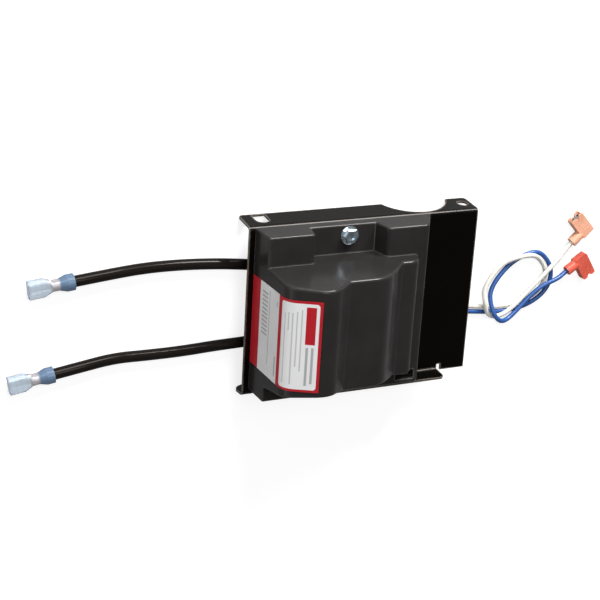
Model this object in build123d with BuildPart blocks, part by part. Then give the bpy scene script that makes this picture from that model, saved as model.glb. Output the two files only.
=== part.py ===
from build123d import *
from math import cos, pi, radians, sin, tan
import os

# Ignition transformer on a folded steel base plate, in millimetres.
# X runs along the plate's long side, Y up the plate, Z out of its front face.
# The origin lies on the surface that the plate's rear flanges stand on, under the plate's middle.
# Places on the plate are given from its bottom left corner and from its front face.

# Base plate
plate_width = 116.5
plate_height = 80.0
sheet = 1.0
bend_radius = 2.0
flange_reach = 13.7
flange_lean = 6.5
lip_reach = 8.4
lower_flange_end = 36.0
lip_start = 40.0
lip_setback = 15.0
lip_end = plate_width - lip_setback
relief_width = 2.0
relief_depth = 3.0
lip_corner = 1.6
flange_corner = 2.0
lower_flange_corner = 8.0
notch_radius = 18.0
notch_setback = 27.5
notch_x = plate_width - notch_setback
notch_depth_in = 19.6
tab_hole_diameter = 5.0
tab_hole_inset = 4.5
tab_hole_depth_in = 7.5
slot_width = 6.4
slot_x = 9.1
slot_start = 4.3
slot_web = 0.8

# Moulded housing
housing_left = 2.9
side_draft = 0.01
housing_right = 91.0
housing_bottom = 2.6
housing_edge_gap = 0.4
housing_top = plate_height - housing_edge_gap
block_height = 15.0
block_right = 82.0
wall = 2.0
edge_radius = 1.0
front_corner = 3.0
hump_setback = 13.6
hump_end_top = housing_top - hump_setback
hump_end_bottom = 9.5
hump_slope_top = 0.08
hump_slope_bottom = 0.18
crest_radius = 1.5
recess_left = 27.0
recess_right = 59.5
recess_floor = 5.3
recess_draft = 1.8
recess_corner = 2.0
pocket_left = 70.0
pocket_right = 80.0
pocket_bottom = 4.7
pocket_top = 9.2
pocket_depth = 5.0
pocket_slant = 2.0
pocket_boss_radius = 1.4
pocket_boss_height = 1.6

# The hump over the coils, as the corners of its outline and the radius at each corner
hump_corners = [
    (35.3, 7.7),
    (21.2, 45.2, 9.5),
    (32.6, 36.1, 2.5),
    (51.5, 36.3, 16.0),
    (65.4, 22.4, 1.8),
    (75.2, 22.2, 6.0),
]
hump_foot = 79.5

# Hooks that hold the housing's lower edge to the plate
hook_places = (50.0, 78.0)
hook_width = 8.0
hook_thickness = 1.8
hook_reach = 1.3
hook_clearance = 0.2

# Housing screw
screw_x = 46.5
screw_setback = 5.2
screw_y = housing_top - screw_setback
screw_diameter = 4.2
screw_clearance = 0.25
washer_diameter = 8.7
washer_thickness = 0.9
hex_across_flats = 6.35
hex_height = 2.6
hex_chamfer = 0.4
hex_recess_diameter = 3.6
hex_recess_depth = 0.8
screw_tail = 3.0
screw_point = 1.2
collar_height = 1.4
collar_thickness = 0.9

# Labels
label_thickness = 0.2
label_bottom = 17.0
label_clearance = 7.4
label_top = hump_end_top - label_clearance
label_split = 28.4
label_start = 0.6
front_label_end = 16.8

# High voltage leads and their bushings
hv_diameter = 5.0
hv_exit_x = 15.0
hv_exit_pitch = 36.0
hv_exit_upper_y = plate_height / 2 + hv_exit_pitch / 2
hv_exit_lower_y = plate_height / 2 - hv_exit_pitch / 2
bushing_wall = 1.3
bushing_flange_width = 2.8
bushing_flange_thickness = 1.4
bushing_lip_width = 0.6
bushing_lip_thickness = 0.8

# Primary leads and their bushing
primary_diameter = 2.3
primary_exit_x = 76.0
white_exit_drop = 10.8
white_exit_y = plate_height / 2 - white_exit_drop
primary_pitch = 3.2
blue_exit_y = white_exit_y - primary_pitch

# Straight receptacles in insulating sleeves on the high voltage leads
sleeve_grip = 3.0
sleeve_collar_length = 6.6
sleeve_collar_radius = 3.7
sleeve_collar_wall = 0.9
sleeve_neck_length = 3.4
sleeve_neck_radius = 2.6
sleeve_body_length = 9.9
sleeve_body_width = 8.2
sleeve_body_height = 4.6
sleeve_body_corner = 1.6
sleeve_wall = 0.7
terminal_sheet = 0.6
terminal_clearance = 0.15
spade_width = 6.0
spade_gap = 0.9
roll_radius = 1.15

# Flag receptacles on the primary leads
flag_grip = 2.5
flag_barrel_radius = 2.5
flag_barrel_length = 5.4
flag_width = 7.4
flag_length = 12.4
flag_height = 4.2
flag_offset = 2.6
flag_corner = 0.9
flag_wall = 0.7
flag_notch = 1.5

# Transformer core and coils
core_x = 14.5
core_bottom = 18.0
core_clearance = 5.0
core_top = hump_end_top - core_clearance
leg_size = 6.0
lower_leg_z = 12.0
upper_leg_z = 28.5
core_gap = 0.2
coil_clearance = 0.1
bobbin_tube_radius = 5.3
secondary_radius = 8.6
secondary_wire_radius = 7.7
secondary_section_count = 6
secondary_rib = 0.8
primary_radius = 6.3
primary_wire_radius = 5.9
primary_flange = 1.2

# Circuit board and its components
board_left = 27.5
board_right = 78.0
board_bottom = 7.0
board_clearance = 3.0
board_top = hump_end_top - board_clearance
board_underside = 3.0
board_thickness = 1.6
bulk_capacitor_diameter = 18.0
bulk_capacitor_length = 26.0
bulk_capacitor_x = 38.0
bulk_capacitor_y = 25.0
bulk_capacitor_groove = 0.7
film_width = 26.0
film_depth = 10.0
film_height = 19.0
film_x = 42.0
film_inset = 7.0
film_y = board_top - film_inset
heat_sink_x = 64.5
heat_sink_inset = 16.0
heat_sink_y = board_top - heat_sink_inset
heat_sink_width = 15.0
heat_sink_height = 14.0
heat_sink_thickness = 1.5
heat_sink_foot = 7.0
transistor_width = 10.0
transistor_height = 9.0
transistor_depth = 3.2
transistor_tab_height = 12.5
transistor_tab_thickness = 1.3
transistor_lift = 1.0
diode_diameter = 2.7
diode_length = 5.0
diode_pitch = 5.0
diode_x = 61.0
diode_y = 11.0
resistor_diameter = 4.0
resistor_length = 11.0
resistor_x = 66.0
resistor_inset = 4.0
resistor_y = board_top - resistor_inset
varistor_diameter = 10.0
varistor_thickness = 3.6
varistor_clearance = 0.5
varistor_x = heat_sink_x - heat_sink_width / 2 - varistor_diameter / 2 - varistor_clearance
varistor_y = 33.0
varistor_lift = 0.8
pin_diameter = 0.8

# How the leads lie, chosen by hand: steps in X and Y from each lead's exit, and Z over the floor
hv_upper_steps = [
    (0.0, 0.0, 15.0),
    (0.0, 0.0, 7.7),
    (-5.25, 0.3, 2.5),
    (-12.35, 1.2, 2.5),
    (-24.25, 2.6, 2.5),
    (-40.75, 3.7, 2.5),
    (-58.75, 3.8, 2.5),
    (-77.25, 2.6, 3.7),
    (-94.15, 0.7, 3.7),
]
hv_lower_steps = [
    (0.0, 0.0, 15.0),
    (0.0, 0.0, 7.7),
    (-5.25, -0.1, 2.5),
    (-12.35, -0.4, 2.5),
    (-24.25, -0.6, 2.5),
    (-40.25, -1.4, 2.5),
    (-56.75, -1.4, 2.5),
    (-72.25, -1.0, 2.5),
    (-87.75, -2.8, 3.7),
    (-103.05, -5.2, 3.7),
]
white_steps = [
    (0.0, 0.0, 15.9),
    (0.0, 0.0, 7.2),
    (6.25, -0.1, 1.15),
    (20.25, -0.4, 1.15),
    (37.25, -1.4, 1.15),
    (52.25, -3.8, 1.15),
    (64.25, -5.1, 1.15),
    (76.25, -4.6, 1.15),
    (85.45, -1.5, 1.15),
    (91.25, 4.2, 1.15),
    (91.85, 11.8, 1.15),
    (87.25, 18.0, 1.15),
    (80.75, 21.4, 4.2),
    (72.75, 21.0, 4.2),
    (65.55, 17.4, 1.15),
    (59.25, 10.2, 1.15),
    (55.85, 4.2, 2.0),
    (55.95, -1.2, 4.2),
    (57.25, -6.6, 4.2),
    (61.25, -9.2, 4.2),
    (67.05, -8.4, 4.2),
    (73.55, -4.0, 4.2),
    (80.85, 2.8, 3.8),
    (87.45, 9.2, 4.2),
    (95.85, 17.2, 4.2),
    (100.85, 22.1, 2.5),
    (106.05, 27.0, 2.5),
]
blue_steps = [
    (0.0, 0.0, 15.9),
    (0.0, 0.0, 7.2),
    (6.25, -0.1, 1.15),
    (20.25, -0.3, 1.15),
    (37.25, -1.2, 1.15),
    (52.25, -3.3, 1.15),
    (64.25, -4.6, 1.15),
    (76.75, -4.3, 1.15),
    (87.25, -0.8, 1.15),
    (93.85, 5.2, 1.15),
    (95.45, 13.0, 1.15),
    (92.05, 20.2, 1.15),
    (85.45, 25.4, 1.15),
    (76.75, 23.6, 1.15),
    (69.25, 19.4, 1.15),
    (62.85, 12.4, 1.15),
    (59.35, 6.0, 2.0),
    (58.75, 0.8, 5.2),
    (60.15, -4.2, 7.3),
    (63.65, -7.6, 7.3),
    (69.05, -7.9, 5.2),
    (75.05, -3.6, 4.2),
    (81.85, 2.8, 3.8),
    (88.45, 7.8, 4.2),
    (97.25, 10.6, 4.2),
    (101.65, 12.4, 2.5),
    (105.45, 14.9, 2.5),
]

# Values that follow from the sizes above
half_width = plate_width / 2
half_height = plate_height / 2
plate_front = flange_reach
plate_back = plate_front - sheet
lean = radians(flange_lean)
flange_length = (flange_reach - sheet * sin(lean)) / cos(lean)
lip_length = (lip_reach + sheet) / cos(lean)
screw_hole_radius = screw_diameter / 2 + screw_clearance
far = plate_width
touching = 0.01
facing = 0.9
bend_share = 0.45


def px(x):
    """Turns a distance from the plate's left edge into X."""
    return x - half_width


def py(y):
    """Turns a distance from the plate's bottom edge into Y."""
    return y - half_height


def pz(z):
    """Turns a height over the plate's front face into Z."""
    return plate_front + z


def across(y):
    """A plane across the plate at a height y, facing the plate's bottom edge."""
    return Plane.XZ.offset(-py(y))


def level(z):
    """A plane parallel to the plate at a height over its front face."""
    return Plane.XY.offset(pz(z))


def save(piece, name):
    """Labels a finished piece and writes it to its own file."""
    piece.part.label = name
    export_step(piece.part, f"parts/{name}.step")


def from_exit(x, y, steps):
    """A lead's route in X, Y and Z, from where it leaves the plate."""
    return [(px(x) + dx, py(y) + dy, z) for dx, dy, z in steps]


hv_upper_route = from_exit(hv_exit_x, hv_exit_upper_y, hv_upper_steps)
hv_lower_route = from_exit(hv_exit_x, hv_exit_lower_y, hv_lower_steps)
white_route = from_exit(primary_exit_x, white_exit_y, white_steps)
blue_route = from_exit(primary_exit_x, blue_exit_y, blue_steps)

os.makedirs("parts", exist_ok=True)


# Base plate: one folded sheet with two rear flanges and a short forward lip
def folded_strip(points, inner_side, first_x, last_x):
    """A folded strip of sheet whose outer face follows the points, given as Y and Z."""
    with BuildPart() as strip:
        with BuildSketch(Plane.YZ.offset(px(first_x))):
            with BuildLine():
                FilletPolyline(*points, radius=bend_radius)
                offset(amount=sheet, side=inner_side)
            make_face()
        extrude(amount=last_x - first_x)
    return strip.part


def flange_tip(y, away):
    """The far end of a rear flange that starts at y; away is 1 or -1 along Y."""
    return (y + away * sin(lean) * flange_length, plate_front - cos(lean) * flange_length)


upper_strip = folded_strip(
    [(py(relief_depth), plate_front), (half_height, plate_front), flange_tip(half_height, 1)],
    Side.RIGHT,
    0,
    plate_width,
)
lower_strip = folded_strip(
    [(py(2 * relief_depth), plate_front), (-half_height, plate_front), flange_tip(-half_height, -1)],
    Side.LEFT,
    0,
    lower_flange_end,
)
lip_tip = (-half_height - sin(lean) * lip_length, plate_back + cos(lean) * lip_length)
lip_strip = folded_strip(
    [(py(2 * relief_depth), plate_back), (-half_height, plate_back), lip_tip],
    Side.RIGHT,
    lip_start,
    lip_end,
)

# The outer face of the upper flange, with local Y running back along the flange
upper_face = Plane(origin=(0, half_height, plate_front), x_dir=(1, 0, 0), z_dir=(0, cos(lean), sin(lean)))
right_web_start = lip_end + relief_width
slot_end = flange_length - slot_web
slot_middle = slot_start + slot_width / 2
slot_left = slot_x - slot_width / 2
slot_right = slot_x + slot_width / 2
primary_exit_y = (white_exit_y + blue_exit_y) / 2
primary_hole_width = primary_diameter + 2 * bushing_wall
hv_hole_radius = hv_diameter / 2 + bushing_wall
hook_slot_height = hook_thickness + hook_reach + 2 * hook_clearance
hook_slot_bottom = housing_bottom - hook_clearance

with BuildPart() as base_plate:
    add(upper_strip)
    add(lower_strip)
    add(lip_strip)
    with BuildSketch(Plane.XY.offset(plate_back)):
        with Locations((px(right_web_start), -half_height)):
            Rectangle(plate_width - right_web_start, 2 * relief_depth, align=(Align.MIN, Align.MIN))
    extrude(amount=sheet)

    # Collar drawn out of the sheet for the housing screw
    with BuildSketch(Plane.XY.offset(plate_back)):
        with Locations((px(screw_x), py(screw_y))):
            Circle(screw_diameter / 2 + collar_thickness)
    extrude(amount=-collar_height)
    with BuildSketch(Plane.XY.offset(plate_back)):
        with Locations((px(screw_x), py(screw_y))):
            Circle(screw_diameter / 2)
    extrude(amount=collar_height + sheet, both=True, mode=Mode.SUBTRACT)

    # Clearance notch, fixing hole and fixing slot through the upper flange
    with BuildSketch(upper_face):
        with Locations((px(notch_x), notch_depth_in)):
            Circle(notch_radius)
        with Locations((px(plate_width - tab_hole_inset), tab_hole_depth_in)):
            Circle(tab_hole_diameter / 2)
        with BuildLine():
            Line((px(slot_left), slot_end), (px(slot_left), slot_middle))
            ThreePointArc(
                (px(slot_left), slot_middle),
                (px(slot_x), slot_start),
                (px(slot_right), slot_middle),
            )
            Line((px(slot_right), slot_middle), (px(slot_right), slot_end))
            Line((px(slot_right), slot_end), (px(slot_left), slot_end))
        make_face()
    extrude(amount=2 * sheet, both=True, mode=Mode.SUBTRACT)

    # Holes for the bushings and slots for the housing's hooks
    with BuildSketch(Plane.XY.offset(plate_front)):
        with Locations((px(hv_exit_x), py(hv_exit_upper_y)), (px(hv_exit_x), py(hv_exit_lower_y))):
            Circle(hv_hole_radius)
        with Locations((px(primary_exit_x), py(primary_exit_y))):
            SlotCenterToCenter(primary_pitch, primary_hole_width, rotation=90)
        for hook_x in hook_places:
            with Locations((px(hook_x), py(hook_slot_bottom))):
                Rectangle(
                    hook_width + 2 * hook_clearance,
                    hook_slot_height,
                    align=(Align.CENTER, Align.MIN),
                )
    extrude(amount=-sheet, mode=Mode.SUBTRACT)

    # Rounded corners at the flange ends and the lip's right-hand end
    short_edges = base_plate.edges().filter_by(GeomType.LINE).filter_by(lambda e: abs(e.length - sheet) < touching)
    outer_ends = short_edges.filter_by(lambda e: abs(e.center().X) > half_width - touching)
    flange_ends = outer_ends.filter_by(lambda e: e.center().Z < 2 * sheet)
    fillet(flange_ends.filter_by(lambda e: e.center().Y > 0), radius=flange_corner)
    fillet(flange_ends.filter_by(lambda e: e.center().Y < 0), radius=lower_flange_corner)
    lip_ends = base_plate.edges().filter_by(GeomType.LINE).filter_by(
        lambda e: e.center().Z > plate_front + lip_reach - sheet and e.length < 2 * sheet
    )
    chamfer(lip_ends, length=lip_corner)

save(base_plate, "base_plate")


# Moulded housing
def left_wall(z):
    """How far the housing's left wall stands from the plate's left edge at a height."""
    return housing_left + side_draft * z


def block_outline(bottom):
    """Points across the housing's low block, from a height at or under the plate's face."""
    right_slope = (housing_right - block_right) / block_height
    return [
        (px(left_wall(bottom)), pz(bottom)),
        (px(left_wall(block_height)), pz(block_height)),
        (px(block_right), pz(block_height)),
        (px(housing_right - right_slope * bottom), pz(bottom)),
    ]


def hump_outline(bottom):
    """Points across the hump and the radius at each of its corners."""
    shoulder, shoulder_radius = hump_corners[0]
    points = [(px(left_wall(bottom)), pz(bottom)), (px(left_wall(shoulder)), pz(shoulder))]
    radii = [shoulder_radius]
    for x, z, radius in hump_corners[1:]:
        points.append((px(x), pz(z)))
        radii.append(radius)
    points.append((px(hump_foot), pz(bottom)))
    return points, radii


def moulding(inset):
    """The housing's outer form, or its hollow when inset by the wall."""
    points, radii = hump_outline(-inset)
    block = block_outline(-inset)
    hump_top = pz(block_height) + far / 2
    with BuildPart() as form:
        # The hump, as long as the plate, then cut to its slanted ends
        with BuildSketch(across(housing_top)):
            with BuildLine():
                FilletPolyline(*points, radius=radii)
                Line(points[-1], points[0])
            make_face()
            if inset:
                offset(amount=-inset, kind=Kind.INTERSECTION)
        extrude(amount=housing_top - housing_bottom)
        top_foot = py(hump_end_top - inset)
        bottom_foot = py(hump_end_bottom + inset)
        rise = hump_top - pz(block_height)
        drop = block_height + wall
        with BuildSketch(Plane.YZ.offset(-far)):
            with BuildLine():
                Polyline(
                    (bottom_foot - hump_slope_bottom * drop, pz(block_height) - drop),
                    (top_foot + hump_slope_top * drop, pz(block_height) - drop),
                    (top_foot - hump_slope_top * rise, hump_top),
                    (bottom_foot + hump_slope_bottom * rise, hump_top),
                    close=True,
                )
            make_face()
        extrude(amount=2 * far, mode=Mode.INTERSECT)
        if not inset:
            ends = form.faces().filter_by(lambda f: abs(f.normal_at().Y) > facing)
            crest = ends.edges().filter_by(lambda e: e.center().Z > pz(block_height) + edge_radius)
            fillet(crest.filter_by(lambda e: abs(e.tangent_at(0.5).X) > touching), radius=crest_radius)

        # The low block under it
        with BuildSketch(across(housing_top - inset)):
            with BuildLine():
                FilletPolyline(*block, radius=[edge_radius, front_corner])
                Line(block[-1], block[0])
            make_face()
            if inset:
                offset(amount=-inset, kind=Kind.INTERSECTION)
        extrude(amount=housing_top - housing_bottom - 2 * inset)
    return form.part


def recess(grow):
    """The open recess round the screw, or the solid left around it when grown by the wall."""
    depth = block_height - recess_floor
    floor = -grow if grow else recess_floor
    top = block_height + edge_radius
    lean_out = recess_draft * (top - recess_floor) / depth
    with BuildPart() as form:
        with BuildSketch(across(housing_top + edge_radius)):
            with BuildLine():
                Polyline(
                    (px(recess_left), pz(floor)),
                    (px(recess_right), pz(floor)),
                    (px(recess_right + lean_out), pz(top)),
                    (px(recess_left - lean_out), pz(top)),
                    close=True,
                )
            make_face()
            if grow:
                offset(amount=grow, kind=Kind.INTERSECTION)
        extrude(amount=housing_top + edge_radius - hump_end_top + grow)
    return form.part


def pocket(grow):
    """The pocket in the block's lower right corner, or its walls when grown."""
    top = block_height + edge_radius
    floor = block_height - pocket_depth
    with BuildPart() as form:
        with BuildSketch(across(pocket_top + grow)):
            with BuildLine():
                Polyline(
                    (px(pocket_left + pocket_slant), pz(floor)),
                    (px(pocket_right), pz(floor)),
                    (px(pocket_right), pz(top)),
                    (px(pocket_left), pz(top)),
                    close=True,
                )
            make_face()
            if grow:
                offset(amount=grow, kind=Kind.INTERSECTION)
        extrude(amount=pocket_top - pocket_bottom + 2 * grow)
    return form.part


with BuildPart() as cavity:
    add(moulding(wall))
    add(recess(wall), mode=Mode.SUBTRACT)
    add(pocket(wall), mode=Mode.SUBTRACT)
    # Only what stands over the plate's face is hollow
    with BuildSketch(level(0)):
        Rectangle(2 * far, 2 * far)
    extrude(amount=-far, mode=Mode.SUBTRACT)

with BuildPart() as housing:
    add(moulding(0))
    add(recess(0), mode=Mode.SUBTRACT)
    add(pocket(0), mode=Mode.SUBTRACT)

    # Soft edges down the recess, round the upper side and along the lower side
    front_edges = housing.edges().filter_by(lambda e: abs(e.center().Z - pz(block_height)) < touching)
    recess_sides = front_edges.filter_by(Axis.Y).filter_by(lambda e: e.center().Y > py(hump_end_top))
    fillet(recess_sides, radius=recess_corner)
    upper_side = housing.faces().sort_by(Axis.Y)[-1]
    fillet(upper_side.edges().filter_by(lambda e: e.center().Z > pz(touching)), radius=edge_radius)
    lower_side = housing.faces().sort_by(Axis.Y)[0]
    fillet(lower_side.edges().filter_by(lambda e: e.center().Z > pz(block_height) - touching), radius=edge_radius)
    add(cavity.part, mode=Mode.SUBTRACT)

    # Low boss in the pocket
    with BuildSketch(level(block_height - pocket_depth)):
        with Locations((px((pocket_left + pocket_slant + pocket_right) / 2), py((pocket_bottom + pocket_top) / 2))):
            Circle(pocket_boss_radius)
    extrude(amount=pocket_boss_height)

    # Clearance hole for the screw
    with BuildSketch(level(0)):
        with Locations((px(screw_x), py(screw_y))):
            Circle(screw_hole_radius)
    extrude(amount=recess_floor + edge_radius, mode=Mode.SUBTRACT)

    # Hooks through the plate's slots
    hook_bottom = housing_bottom - hook_reach
    hook_grip = sheet + hook_clearance
    for hook_x in hook_places:
        with BuildSketch(Plane.YZ.offset(px(hook_x) - hook_width / 2)):
            with BuildLine():
                Polyline(
                    (py(housing_bottom), pz(wall)),
                    (py(housing_bottom), pz(-hook_grip)),
                    (py(hook_bottom), pz(-hook_grip)),
                    (py(hook_bottom), pz(-hook_grip - hook_thickness / 2)),
                    (py(housing_bottom), pz(-hook_grip - hook_thickness)),
                    (py(housing_bottom + hook_thickness), pz(-hook_grip - hook_thickness)),
                    (py(housing_bottom + hook_thickness), pz(wall)),
                    close=True,
                )
            make_face()
        extrude(amount=hook_width)

save(housing, "housing")

# Housing screw: hex washer head, shank and point
with BuildPart() as housing_screw:
    with BuildSketch(level(recess_floor)):
        with Locations((px(screw_x), py(screw_y))):
            Circle(washer_diameter / 2)
    extrude(amount=washer_thickness)
    rim = housing_screw.edges().filter_by(GeomType.CIRCLE).sort_by(Axis.Z)[-1]
    chamfer(rim, length=washer_thickness / 2, length2=washer_thickness)
    with BuildSketch(level(recess_floor)):
        with Locations((px(screw_x), py(screw_y))):
            RegularPolygon(hex_across_flats / 2, 6, major_radius=False)
    extrude(amount=hex_height)
    hex_rim = housing_screw.faces().sort_by(Axis.Z)[-1].edges()
    chamfer(hex_rim, length=hex_chamfer)
    with BuildSketch(level(recess_floor + hex_height)):
        with Locations((px(screw_x), py(screw_y))):
            Circle(hex_recess_diameter / 2)
    extrude(amount=-hex_recess_depth, mode=Mode.SUBTRACT)
    shank_length = recess_floor + sheet + collar_height + screw_tail
    with BuildSketch(level(recess_floor)):
        with Locations((px(screw_x), py(screw_y))):
            Circle(screw_diameter / 2)
    extrude(amount=-shank_length)
    tip = housing_screw.edges().filter_by(GeomType.CIRCLE).sort_by(Axis.Z)[0]
    chamfer(tip, length=screw_point, length2=screw_diameter / 4)

save(housing_screw, "housing_screw")


# Labels: thin sheets stuck round the hump's left side
def hump_slab(grow):
    """A slice of the hump as long as the labels, grown by a label's thickness or not."""
    points, radii = hump_outline(0)
    with BuildPart() as slab:
        with BuildSketch(across(label_top)):
            with BuildLine():
                FilletPolyline(*points, radius=radii)
                Line(points[-1], points[0])
            make_face()
            if grow:
                offset(amount=grow, kind=Kind.INTERSECTION)
        extrude(amount=label_top - label_bottom)
    return slab.part


def label(low, high, right):
    """The part of the label sheet between two heights and left of a place."""
    with BuildPart() as strip:
        add(hump_slab(label_thickness))
        add(hump_slab(0), mode=Mode.SUBTRACT)
        with BuildSketch(across(label_top)):
            with Locations((px(right), pz(low))):
                Rectangle(far, high - low, align=(Align.MAX, Align.MIN))
        extrude(amount=label_top - label_bottom, mode=Mode.INTERSECT)
    return strip


rating_label = label(label_start, label_split, front_label_end)
save(rating_label, "rating_label")
front_label = label(label_split, far, front_label_end)
save(front_label, "front_label")


# Leads: straight runs joined by tangent arcs
def bend_radii(route):
    """The radius at each corner of a route, as large as its two runs allow."""
    points = [Vector(*p) for p in route]
    radii = []
    for before, at, after in zip(points, points[1:], points[2:]):
        turn = radians((at - before).get_angle(after - at))
        shorter = min((at - before).length, (after - at).length)
        radii.append(bend_share * shorter / tan(turn / 2))
    return radii


def lead(name, route, diameter):
    """A round lead swept along its route."""
    radii = bend_radii(route)
    with BuildPart() as tube:
        with BuildLine() as path:
            FilletPolyline(*route, radius=radii)
        centreline = path.wire()
        with BuildSketch(Plane(origin=centreline @ 0, z_dir=centreline % 0)):
            Circle(diameter / 2)
        sweep(path=centreline)
    share = tube.part.volume / (pi * diameter**2 / 4 * centreline.length)
    small = sorted(round(r, 1) for r in radii)[:4]
    print(name, "length", round(centreline.length, 1), "volume share", round(share, 4), "least radii", small)
    save(tube, name)
    return tube


hv_lead_upper = lead("hv_lead_upper", hv_upper_route, hv_diameter)
hv_lead_lower = lead("hv_lead_lower", hv_lower_route, hv_diameter)
primary_lead_white = lead("primary_lead_white", white_route, primary_diameter)
primary_lead_blue = lead("primary_lead_blue", blue_route, primary_diameter)


# Bushings that snap into the plate's holes, each round its leads
def bushing(name, x, y, pitch, diameter):
    """A bushing with one bore, or with two a pitch apart up the plate."""
    outer = diameter + 2 * bushing_wall
    levels = [
        (-sheet - bushing_flange_thickness, bushing_flange_thickness, outer + bushing_flange_width),
        (-sheet, sheet, outer),
        (0, bushing_lip_thickness, outer + 2 * bushing_lip_width),
    ]
    bores = [(px(x), py(y + pitch / 2)), (px(x), py(y - pitch / 2))] if pitch else [(px(x), py(y))]
    with BuildPart() as body:
        for z, thickness, width in levels:
            with BuildSketch(level(z)):
                with Locations((px(x), py(y))):
                    if pitch:
                        SlotCenterToCenter(pitch, width, rotation=90)
                    else:
                        Circle(width / 2)
            extrude(amount=thickness)
        with BuildSketch(level(-sheet - bushing_flange_thickness)):
            with Locations(*bores):
                Circle(diameter / 2)
        extrude(amount=far, mode=Mode.SUBTRACT)
    save(body, name)
    return body


hv_bushing_upper = bushing("hv_bushing_upper", hv_exit_x, hv_exit_upper_y, 0, hv_diameter)
hv_bushing_lower = bushing("hv_bushing_lower", hv_exit_x, hv_exit_lower_y, 0, hv_diameter)
primary_bushing = bushing("primary_bushing", primary_exit_x, primary_exit_y, primary_pitch, primary_diameter)


# Straight receptacles: a brass terminal inside an insulating sleeve, along the lead's end
def end_plane(route, back):
    """A plane across the lead a little before its end, with local Z along the lead."""
    last = Vector(*route[-1])
    along = (last - Vector(*route[-2])).normalized()
    return Plane(origin=last - along * back, x_dir=(-along.Y, along.X, 0), z_dir=along)


sleeve_body_start = sleeve_collar_length + sleeve_neck_length
crimp_radius = sleeve_neck_radius - sleeve_wall


def straight_sleeve(name, route):
    """A bell over the lead's end, a narrow neck and a flat open body, in one moulding."""
    start = end_plane(route, sleeve_grip)
    with BuildPart() as body:
        # Bell and neck
        with BuildSketch(start):
            Circle(sleeve_collar_radius)
        extrude(amount=sleeve_collar_length / 2)
        with BuildSketch(start.offset(sleeve_collar_length / 2)):
            Circle(sleeve_collar_radius)
        with BuildSketch(start.offset(sleeve_collar_length)):
            Circle(sleeve_neck_radius)
        loft()
        with BuildSketch(start.offset(sleeve_collar_length)):
            Circle(sleeve_neck_radius)
        extrude(amount=sleeve_neck_length)
        # Flat body, with the neck spread out into it
        shoulder = sleeve_body_length / 3
        with BuildSketch(start.offset(sleeve_body_start)):
            RectangleRounded(2 * sleeve_neck_radius, 2 * sleeve_neck_radius - sleeve_wall, sleeve_body_corner)
        with BuildSketch(start.offset(sleeve_body_start + shoulder)):
            RectangleRounded(sleeve_body_width, sleeve_body_height, sleeve_body_corner)
        loft()
        with BuildSketch(start.offset(sleeve_body_start + shoulder)):
            RectangleRounded(sleeve_body_width, sleeve_body_height, sleeve_body_corner)
        extrude(amount=sleeve_body_length - shoulder)

        # Bore for the lead, then for the crimp, then the open mouth
        with BuildSketch(start):
            Circle(hv_diameter / 2)
        extrude(amount=sleeve_grip, mode=Mode.SUBTRACT)
        with BuildSketch(start.offset(sleeve_grip)):
            Circle(crimp_radius)
        extrude(amount=sleeve_body_start - sleeve_grip, mode=Mode.SUBTRACT)
        with BuildSketch(start.offset(sleeve_body_start)):
            RectangleRounded(
                spade_width + 2 * terminal_clearance,
                2 * roll_radius + spade_gap,
                roll_radius,
            )
        extrude(amount=sleeve_body_length, mode=Mode.SUBTRACT)
    save(body, name)
    return body


def straight_terminal(name, route):
    """A crimp barrel and a flat blade with its two edges rolled over."""
    start = end_plane(route, sleeve_grip)
    depth = sleeve_body_length - sleeve_wall
    floor = -roll_radius
    with BuildPart() as body:
        with BuildSketch(start.offset(sleeve_grip)):
            Circle(crimp_radius)
        extrude(amount=sleeve_body_start - sleeve_grip)
        with BuildSketch(start.offset(sleeve_body_start)):
            with Locations((0, floor + terminal_sheet / 2)):
                Rectangle(spade_width - 2 * roll_radius, terminal_sheet)
            for side in (-1, 1):
                with Locations((side * (spade_width / 2 - roll_radius), 0)):
                    Circle(roll_radius)
                    Circle(roll_radius - terminal_sheet, mode=Mode.SUBTRACT)
        extrude(amount=depth)
        # Gaps along the rolled edges, where the blade of the other half slides in
        with BuildSketch(start.offset(sleeve_body_start + terminal_sheet)):
            Rectangle(spade_width - 2 * roll_radius, 2 * roll_radius - 2 * terminal_sheet)
        extrude(amount=depth, mode=Mode.SUBTRACT)
    save(body, name)
    return body


hv_sleeve_upper = straight_sleeve("hv_sleeve_upper", hv_upper_route)
hv_sleeve_lower = straight_sleeve("hv_sleeve_lower", hv_lower_route)
hv_terminal_upper = straight_terminal("hv_terminal_upper", hv_upper_route)
hv_terminal_lower = straight_terminal("hv_terminal_lower", hv_lower_route)


# Flag receptacles: the body stands across the wire, to one side of its barrel
flag_crimp_radius = flag_height / 2 - flag_wall


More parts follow.
